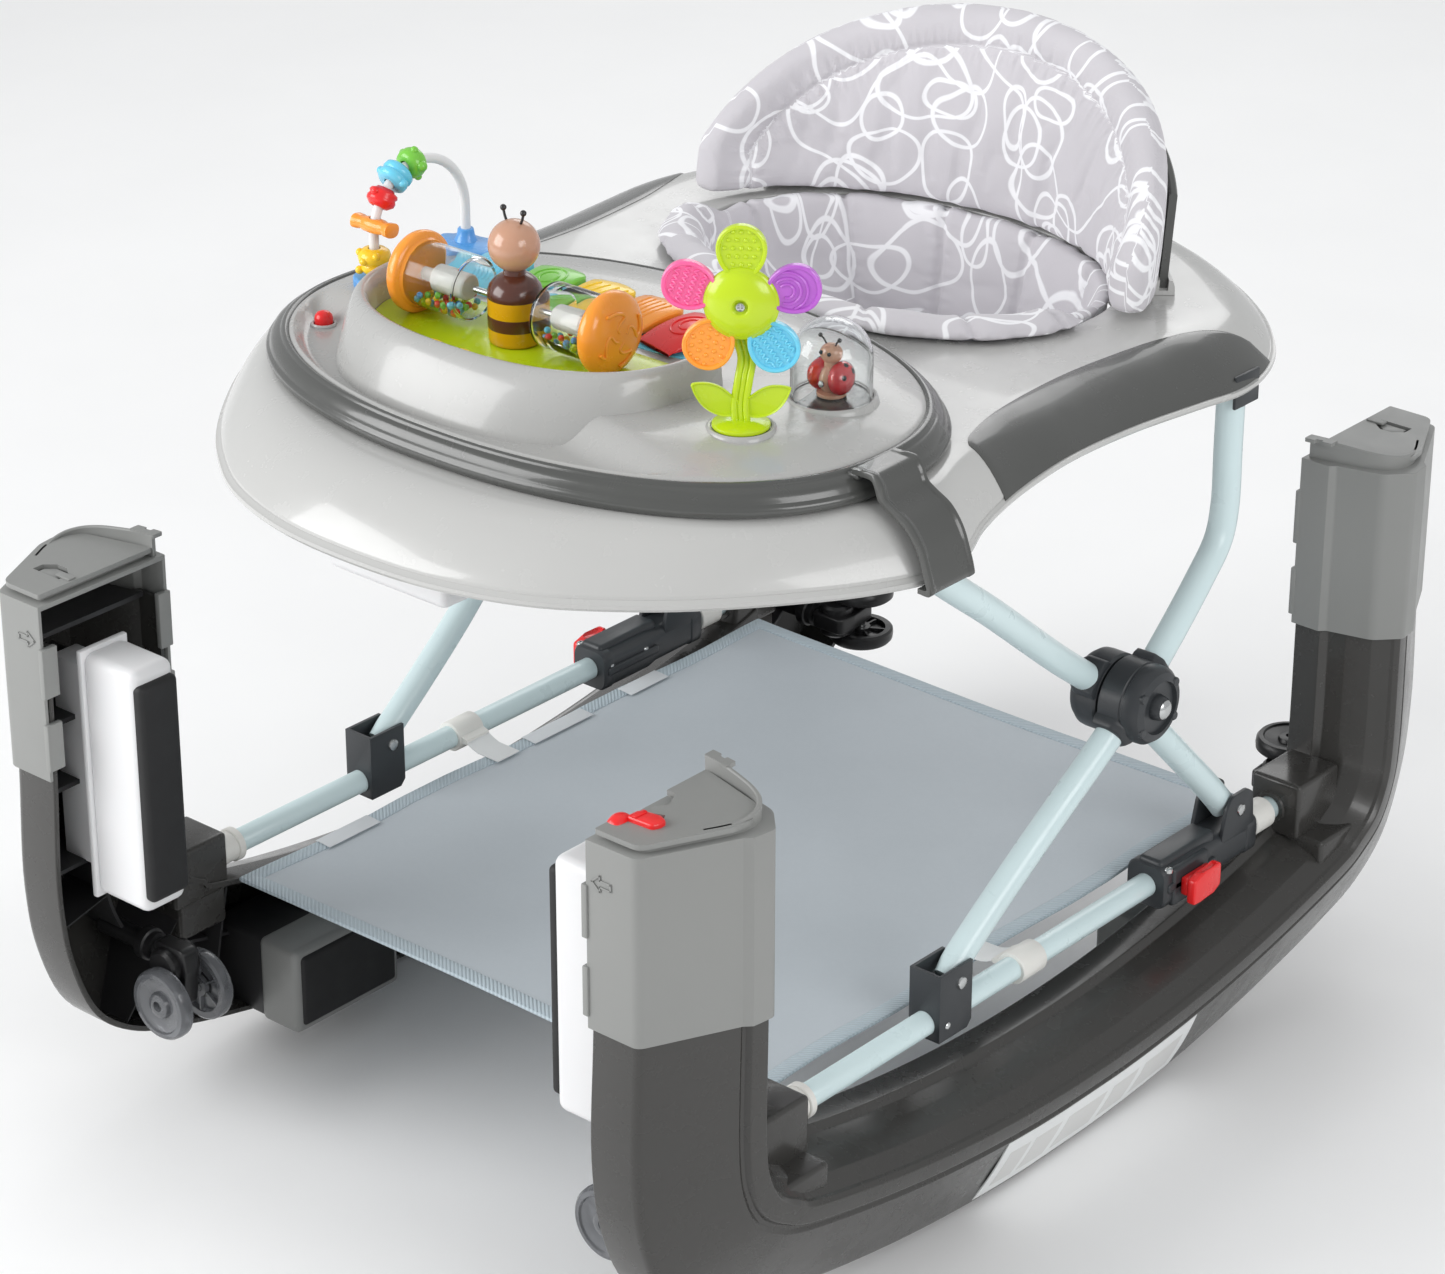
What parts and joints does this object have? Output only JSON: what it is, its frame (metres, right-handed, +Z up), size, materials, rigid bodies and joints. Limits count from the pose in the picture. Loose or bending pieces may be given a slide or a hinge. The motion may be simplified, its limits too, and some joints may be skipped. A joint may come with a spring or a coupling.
{
  "type": "baby walker",
  "caption": "Folding-rocker baby walker: padded seat in an oval ring, toy tray, scissor legs, foot mat and flip-over rocker runners with castors.",
  "frame": {"origin": "on the floor under the middle of the footprint, with the rocker runners down", "axes": "+Z up, +Y from the toy tray towards the back rest, +X towards the right-hand runner"},
  "size_m": [0.5946, 0.804, 0.656],
  "materials": {
    "tube_paint": "pale blue-grey paint, satin",
    "bracket_black": "satin",
    "red_plastic": "gloss",
    "runner_plastic": "semi-gloss",
    "cap_plastic": "fine satin texture",
    "pad_white": "smooth",
    "castor_black": "semi-gloss",
    "wheel_smoke": "smoky clear rim",
    "trim_plastic": "gloss",
    "toy_orange": "gloss",
    "mat_fabric": "coated cloth",
    "ring_plastic": "high gloss",
    "seat_fabric": "woven cotton with printed loops",
    "clear_plastic": "clear",
    "toy_lime": "gloss",
    "toy_brown": "gloss",
    "toy_green": "gloss",
    "toy_blue": "gloss",
    "toy_red": "gloss",
    "toy_yellow": "gloss",
    "toy_light_blue": "gloss"
  },
  "bodies": {
    "base_frame": {"base_tube_right": "tube_paint", "base_tube_left": "tube_paint", "front_bracket_right": "bracket_black", "front_bracket_left": "bracket_black", "foot_mat": "mat_fabric"},
    "rear_legs": {"rear_leg_right": "tube_paint", "rear_leg_left": "tube_paint"},
    "front_legs": {"front_leg_right": "tube_paint", "front_leg_left": "tube_paint"},
    "seat": {"seat_ring": "ring_plastic", "seat_back_support": "trim_plastic", "seat_back_cushion": "seat_fabric", "seat_pad": "seat_fabric", "toy_tray": "ring_plastic", "bead_arch": "pad_white", "flower_stem": "toy_lime", "ladybird_dome": "clear_plastic"},
    "flower_head": {"flower_head": "toy_lime"},
    "ladybird": {"ladybird": "red_plastic"},
    "bee": {"bee": "toy_brown"},
    "red_button": {"red_button": "red_plastic"},
    "joining_latch_front": {"joining_latch_front": "red_plastic"},
    "joining_latch_rear": {"joining_latch_rear": "red_plastic"},
    "slider_right": {"slider_right": "bracket_black"},
    "release_lever_right": {"release_lever_right": "red_plastic"},
    "tray_clip_right": {"tray_clip_right": "trim_plastic"},
    "rattle_drum_right": {"rattle_drum_right": "toy_orange"},
    "rocker_right": {"rocker_rail_right": "runner_plastic", "front_cap_right": "cap_plastic", "rear_cap_right": "cap_plastic", "front_stop_pad_right": "pad_white"},
    "front_castor_fork_right": {"front_castor_fork_right": "castor_black"},
    "front_castor_wheels_right": {"front_castor_wheels_right": "wheel_smoke"},
    "rear_castor_fork_right": {"rear_castor_fork_right": "castor_black"},
    "rear_castor_wheels_right": {"rear_castor_wheels_right": "castor_black"},
    "slider_left": {"slider_left": "bracket_black"},
    "release_lever_left": {"release_lever_left": "red_plastic"},
    "rattle_drum_left": {"rattle_drum_left": "toy_orange"},
    "rocker_left": {"rocker_rail_left": "runner_plastic", "front_cap_left": "cap_plastic", "rear_cap_left": "cap_plastic", "front_stop_pad_left": "pad_white"},
    "front_castor_fork_left": {"front_castor_fork_left": "castor_black"},
    "front_castor_wheels_left": {"front_castor_wheels_left": "wheel_smoke"},
    "rear_castor_fork_left": {"rear_castor_fork_left": "castor_black"},
    "rear_castor_wheels_left": {"rear_castor_wheels_left": "castor_black"},
    "bead_green": {"bead_green": "toy_green"},
    "bead_blue": {"bead_blue": "toy_blue"},
    "bead_red": {"bead_red": "toy_red"},
    "bead_orange": {"bead_orange": "toy_orange"},
    "bead_yellow": {"bead_yellow": "toy_yellow"},
    "key_light_blue": {"key_light_blue": "toy_light_blue"},
    "key_green": {"key_green": "toy_green"},
    "key_yellow": {"key_yellow": "toy_yellow"},
    "key_orange": {"key_orange": "toy_orange"},
    "key_red": {"key_red": "toy_red"}
  },
  "joints": [
    {"name": "height", "type": "hinge", "parent": "base_frame", "child": "rear_legs", "pos_m": [0, -0.103, 0.163], "axis": [1, 0, 0], "range_deg": [-3.5, 3]},
    {"name": "leg_scissor", "type": "hinge", "parent": "rear_legs", "child": "front_legs", "pos_m": [0, 0.073, 0.297], "axis": [1, 0, 0], "range_deg": [-7.5, 8.6]},
    {"name": "seat_pivot", "type": "hinge", "parent": "rear_legs", "child": "seat", "pos_m": [0, 0.178, 0.465], "axis": [1, 0, 0], "range_deg": [-5, 5.8]},
    {"name": "slider_travel_right", "type": "slide", "parent": "base_frame", "child": "slider_right", "axis": [0, -1, 0], "range_m": [-0.0195, 0.0168]},
    {"name": "lever_press_right", "type": "slide", "parent": "slider_right", "child": "release_lever_right", "axis": [-1, 0, 0], "range_m": [0, 0.003], "stiffness_N_per_m": 400, "springref_m": -0.0015},
    {"name": "rocker_flip_right", "type": "hinge", "parent": "base_frame", "child": "rocker_right", "pos_m": [0.245, 0, 0.143], "axis": [0, -1, 0], "range_deg": [0, 90]},
    {"name": "front_castor_swivel_right", "type": "hinge", "parent": "rocker_right", "child": "front_castor_fork_right", "pos_m": [0.193, -0.333, 0.117], "axis": [1, 0, 0], "continuous": true},
    {"name": "front_wheel_roll_right", "type": "hinge", "parent": "front_castor_fork_right", "child": "front_castor_wheels_right", "pos_m": [0.193, -0.333, 0.091], "axis": [0, 1, 0], "continuous": true},
    {"name": "rear_castor_swivel_right", "type": "hinge", "parent": "rocker_right", "child": "rear_castor_fork_right", "pos_m": [0.193, 0.333, 0.117], "axis": [1, 0, 0], "continuous": true},
    {"name": "rear_wheel_roll_right", "type": "hinge", "parent": "rear_castor_fork_right", "child": "rear_castor_wheels_right", "pos_m": [0.193, 0.359, 0.117], "axis": [0, 0, 1], "continuous": true},
    {"name": "tray_clip_open_right", "type": "hinge", "parent": "seat", "child": "tray_clip_right", "pos_m": [0.224, -0.152, 0.5225], "axis": [0, -1, 0], "range_deg": [0, 60]},
    {"name": "drum_spin_right", "type": "hinge", "parent": "seat", "child": "rattle_drum_right", "pos_m": [0.02, -0.172, 0.56], "axis": [1, 0, 0], "continuous": true},
    {"name": "slider_travel_left", "type": "slide", "parent": "base_frame", "child": "slider_left", "axis": [0, -1, 0], "range_m": [-0.0195, 0.0168]},
    {"name": "lever_press_left", "type": "slide", "parent": "slider_left", "child": "release_lever_left", "axis": [1, 0, 0], "range_m": [0, 0.003], "stiffness_N_per_m": 400, "springref_m": -0.0015},
    {"name": "rocker_flip_left", "type": "hinge", "parent": "base_frame", "child": "rocker_left", "pos_m": [-0.245, 0, 0.143], "axis": [0, 1, 0], "range_deg": [0, 90]},
    {"name": "front_castor_swivel_left", "type": "hinge", "parent": "rocker_left", "child": "front_castor_fork_left", "pos_m": [-0.193, -0.333, 0.117], "axis": [-1, 0, 0], "continuous": true},
    {"name": "front_wheel_roll_left", "type": "hinge", "parent": "front_castor_fork_left", "child": "front_castor_wheels_left", "pos_m": [-0.193, -0.333, 0.091], "axis": [0, 1, 0], "continuous": true},
    {"name": "rear_castor_swivel_left", "type": "hinge", "parent": "rocker_left", "child": "rear_castor_fork_left", "pos_m": [-0.193, 0.333, 0.117], "axis": [-1, 0, 0], "continuous": true},
    {"name": "rear_wheel_roll_left", "type": "hinge", "parent": "rear_castor_fork_left", "child": "rear_castor_wheels_left", "pos_m": [-0.193, 0.359, 0.117], "axis": [0, 0, 1], "continuous": true},
    {"name": "drum_spin_left", "type": "hinge", "parent": "seat", "child": "rattle_drum_left", "pos_m": [-0.1, -0.172, 0.56], "axis": [1, 0, 0], "continuous": true},
    {"name": "front_latch_slide", "type": "slide", "parent": "rocker_right", "child": "joining_latch_front", "axis": [1, 0, 0], "range_m": [0, 0.004], "stiffness_N_per_m": 300, "springref_m": -0.002},
    {"name": "rear_latch_slide", "type": "slide", "parent": "rocker_left", "child": "joining_latch_rear", "axis": [-1, 0, 0], "range_m": [0, 0.004], "stiffness_N_per_m": 300, "springref_m": -0.002},
    {"name": "bead_green_slide", "type": "hinge", "parent": "seat", "child": "bead_green", "pos_m": [-0.178, -0.111, 0.561], "axis": [-1, 0, 0], "range_deg": [0, 84]},
    {"name": "bead_blue_spin", "type": "hinge", "parent": "seat", "child": "bead_blue", "pos_m": [-0.178, -0.1315, 0.59651], "axis": [0, 0.866, 0.5], "continuous": true},
    {"name": "bead_red_spin", "type": "hinge", "parent": "seat", "child": "bead_red", "pos_m": [-0.178, -0.14374, 0.58567], "axis": [0, 0.6018, 0.7986], "continuous": true},
    {"name": "bead_orange_spin", "type": "hinge", "parent": "seat", "child": "bead_orange", "pos_m": [-0.178, -0.1511, 0.56952], "axis": [0, 0.2079, 0.9781], "continuous": true},
    {"name": "bead_yellow_spin", "type": "hinge", "parent": "seat", "child": "bead_yellow", "pos_m": [-0.178, -0.152, 0.547], "axis": [0, 0, 1], "continuous": true},
    {"name": "bee_turn", "type": "hinge", "parent": "seat", "child": "bee", "pos_m": [-0.038, -0.172, 0.56], "axis": [0, 0, 1], "continuous": true},
    {"name": "flower_spin", "type": "hinge", "parent": "seat", "child": "flower_head", "pos_m": [0.148, -0.18, 0.609], "axis": [0.5736, -0.8191, 0], "continuous": true},
    {"name": "ladybird_turn", "type": "hinge", "parent": "seat", "child": "ladybird", "pos_m": [0.158, -0.11, 0.55], "axis": [0, 0, 1], "continuous": true},
    {"name": "key_press_light_blue", "type": "slide", "parent": "seat", "child": "key_light_blue", "axis": [0, 0, -1], "range_m": [0, 0.0025], "stiffness_N_per_m": 300, "springref_m": -0.0015},
    {"name": "key_press_green", "type": "slide", "parent": "seat", "child": "key_green", "axis": [0, 0, -1], "range_m": [0, 0.0025], "stiffness_N_per_m": 300, "springref_m": -0.0015},
    {"name": "key_press_yellow", "type": "slide", "parent": "seat", "child": "key_yellow", "axis": [0, 0, -1], "range_m": [0, 0.0025], "stiffness_N_per_m": 300, "springref_m": -0.0015},
    {"name": "key_press_orange", "type": "slide", "parent": "seat", "child": "key_orange", "axis": [0, 0, -1], "range_m": [0, 0.0025], "stiffness_N_per_m": 300, "springref_m": -0.0015},
    {"name": "key_press_red", "type": "slide", "parent": "seat", "child": "key_red", "axis": [0, 0, -1], "range_m": [0, 0.0025], "stiffness_N_per_m": 300, "springref_m": -0.0015},
    {"name": "button_press", "type": "slide", "parent": "seat", "child": "red_button", "axis": [0, 0, -1], "range_m": [0, 0.002], "stiffness_N_per_m": 200, "springref_m": -0.001}
  ],
  "couplings": [
    {"joint": "leg_scissor", "follows": "height", "ratio": -2.386},
    {"joint": "seat_pivot", "follows": "height", "ratio": -1.59},
    {"joint": "slider_travel_right", "follows": "height", "m_per_rad": 0.317},
    {"joint": "slider_travel_left", "follows": "height", "m_per_rad": 0.317}
  ]
}
